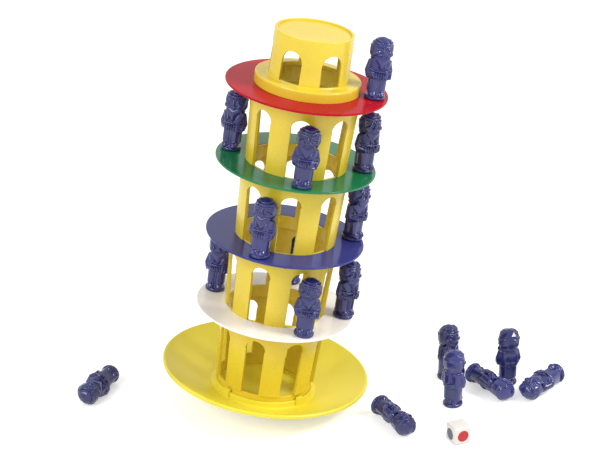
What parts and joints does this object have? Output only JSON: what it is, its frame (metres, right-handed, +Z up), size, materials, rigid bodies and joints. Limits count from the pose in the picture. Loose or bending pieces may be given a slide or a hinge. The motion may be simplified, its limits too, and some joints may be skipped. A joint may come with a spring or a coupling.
{
  "type": "stacking balance game",
  "caption": "Leaning arcaded tower of stacked drums and coloured gallery discs on a rocking dish, with little men to stand on it and a colour die.",
  "frame": {"origin": "the point where the round underside of the rocking dish touches the table", "axes": "+Z up from the table; +X the way the tower leans; -Y towards the side the picture is taken from"},
  "size_m": [0.3729, 0.1571, 0.2927],
  "materials": {
    "yellow_plastic": "moulded, satin gloss",
    "white_disc_plastic": "glossy sheet",
    "blue_disc_plastic": "glossy sheet",
    "green_disc_plastic": "glossy sheet",
    "red_disc_plastic": "glossy sheet",
    "man_plastic": "moulded, glossy",
    "die_plastic": "moulded, printed spots"
  },
  "bodies": {
    "die": {"die": "die_plastic"},
    "rocker_dish": {"rocker_dish": "yellow_plastic"},
    "storey_1": {"storey_1": "yellow_plastic"},
    "disc_white": {"disc_white": "white_disc_plastic"},
    "storey_2": {"storey_2": "yellow_plastic"},
    "disc_blue": {"disc_blue": "blue_disc_plastic"},
    "storey_3": {"storey_3": "yellow_plastic"},
    "disc_green": {"disc_green": "green_disc_plastic"},
    "storey_4": {"storey_4": "yellow_plastic"},
    "disc_red": {"disc_red": "red_disc_plastic"},
    "belfry": {"belfry": "yellow_plastic"},
    "man_white_1": {"man_white_1": "man_plastic"},
    "man_white_2": {"man_white_2": "man_plastic"},
    "man_white_3": {"man_white_3": "man_plastic"},
    "man_white_4": {"man_white_4": "man_plastic"},
    "man_blue_1": {"man_blue_1": "man_plastic"},
    "man_blue_2": {"man_blue_2": "man_plastic"},
    "man_green_1": {"man_green_1": "man_plastic"},
    "man_green_2": {"man_green_2": "man_plastic"},
    "man_green_3": {"man_green_3": "man_plastic"},
    "man_red_1": {"man_red_1": "man_plastic"},
    "man_table_1": {"man_table_1": "man_plastic"},
    "man_table_2": {"man_table_2": "man_plastic"},
    "man_table_3": {"man_table_3": "man_plastic"},
    "man_table_4": {"man_table_4": "man_plastic"},
    "man_table_5": {"man_table_5": "man_plastic"},
    "man_table_6": {"man_table_6": "man_plastic"},
    "man_table_7": {"man_table_7": "man_plastic"}
  },
  "joints": [
    {"name": "tower_rock", "type": "hinge", "parent": "die", "child": "rocker_dish", "pos_m": [0, 0, 0.15], "axis": [0, 1, 0], "range_deg": [-27.9, 12.1]},
    {"name": "storey_1_lift", "type": "slide", "parent": "rocker_dish", "child": "storey_1", "axis": [0.1374, 0, 0.9905], "range_m": [0, 0.012]},
    {"name": "disc_white_lift", "type": "slide", "parent": "storey_1", "child": "disc_white", "axis": [0.1374, 0, 0.9905], "range_m": [0, 0.012]},
    {"name": "storey_2_lift", "type": "slide", "parent": "disc_white", "child": "storey_2", "axis": [0.1374, 0, 0.9905], "range_m": [0, 0.012]},
    {"name": "disc_blue_lift", "type": "slide", "parent": "storey_2", "child": "disc_blue", "axis": [0.1374, 0, 0.9905], "range_m": [0, 0.012]},
    {"name": "storey_3_lift", "type": "slide", "parent": "disc_blue", "child": "storey_3", "axis": [0.1374, 0, 0.9905], "range_m": [0, 0.012]},
    {"name": "disc_green_lift", "type": "slide", "parent": "storey_3", "child": "disc_green", "axis": [0.1374, 0, 0.9905], "range_m": [0, 0.012]},
    {"name": "storey_4_lift", "type": "slide", "parent": "disc_green", "child": "storey_4", "axis": [0.1374, 0, 0.9905], "range_m": [0, 0.012]},
    {"name": "disc_red_lift", "type": "slide", "parent": "storey_4", "child": "disc_red", "axis": [0.1374, 0, 0.9905], "range_m": [0, 0.012]},
    {"name": "belfry_lift", "type": "slide", "parent": "disc_red", "child": "belfry", "axis": [0.1374, 0, 0.9905], "range_m": [0, 0.012]},
    {"name": "man_white_1_slip", "type": "slide", "parent": "disc_white", "child": "man_white_1", "axis": [0.9886, -0.0628, -0.1372], "range_m": [0, 0.0062]},
    {"name": "man_white_2_slip", "type": "slide", "parent": "disc_white", "child": "man_white_2", "axis": [0.442, -0.8949, -0.0613], "range_m": [0, 0.0091]},
    {"name": "man_white_3_slip", "type": "slide", "parent": "disc_white", "child": "man_white_3", "axis": [-0.9308, 0.342, 0.1292], "range_m": [0, 0.009]},
    {"name": "man_white_4_slip", "type": "slide", "parent": "disc_white", "child": "man_white_4", "axis": [0.2396, 0.9703, -0.0333], "range_m": [0, 0.009]},
    {"name": "man_blue_1_slip", "type": "slide", "parent": "disc_blue", "child": "man_blue_1", "axis": [0.9755, 0.1736, -0.1354], "range_m": [0, 0.0072]},
    {"name": "man_blue_2_slip", "type": "slide", "parent": "disc_blue", "child": "man_blue_2", "axis": [-0.3711, -0.9272, 0.0515], "range_m": [0, 0.0088]},
    {"name": "man_green_1_slip", "type": "slide", "parent": "disc_green", "child": "man_green_1", "axis": [0.9902, -0.0262, -0.1374], "range_m": [0, 0.009]},
    {"name": "man_green_2_slip", "type": "slide", "parent": "disc_green", "child": "man_green_2", "axis": [0.0863, -0.9962, -0.012], "range_m": [0, 0.009]},
    {"name": "man_green_3_slip", "type": "slide", "parent": "disc_green", "child": "man_green_3", "axis": [-0.9739, 0.1822, 0.1351], "range_m": [0, 0.009]},
    {"name": "man_red_1_slip", "type": "slide", "parent": "disc_red", "child": "man_red_1", "axis": [0.9769, -0.165, -0.1356], "range_m": [0, 0.009]},
    {"name": "man_table_1_lift", "type": "slide", "parent": "die", "child": "man_table_1", "axis": [0, 0, 1], "range_m": [0, 0.015]},
    {"name": "man_table_2_lift", "type": "slide", "parent": "die", "child": "man_table_2", "axis": [0, 0, 1], "range_m": [0, 0.015]},
    {"name": "man_table_3_lift", "type": "slide", "parent": "die", "child": "man_table_3", "axis": [0, 0, 1], "range_m": [0, 0.015]},
    {"name": "man_table_4_lift", "type": "slide", "parent": "die", "child": "man_table_4", "axis": [0, 0, 1], "range_m": [0, 0.015]},
    {"name": "man_table_5_lift", "type": "slide", "parent": "die", "child": "man_table_5", "axis": [0, 0, 1], "range_m": [0, 0.015]},
    {"name": "man_table_6_lift", "type": "slide", "parent": "die", "child": "man_table_6", "axis": [0, 0, 1], "range_m": [0, 0.015]},
    {"name": "man_table_7_lift", "type": "slide", "parent": "die", "child": "man_table_7", "axis": [0, 0, 1], "range_m": [0, 0.015]}
  ]
}
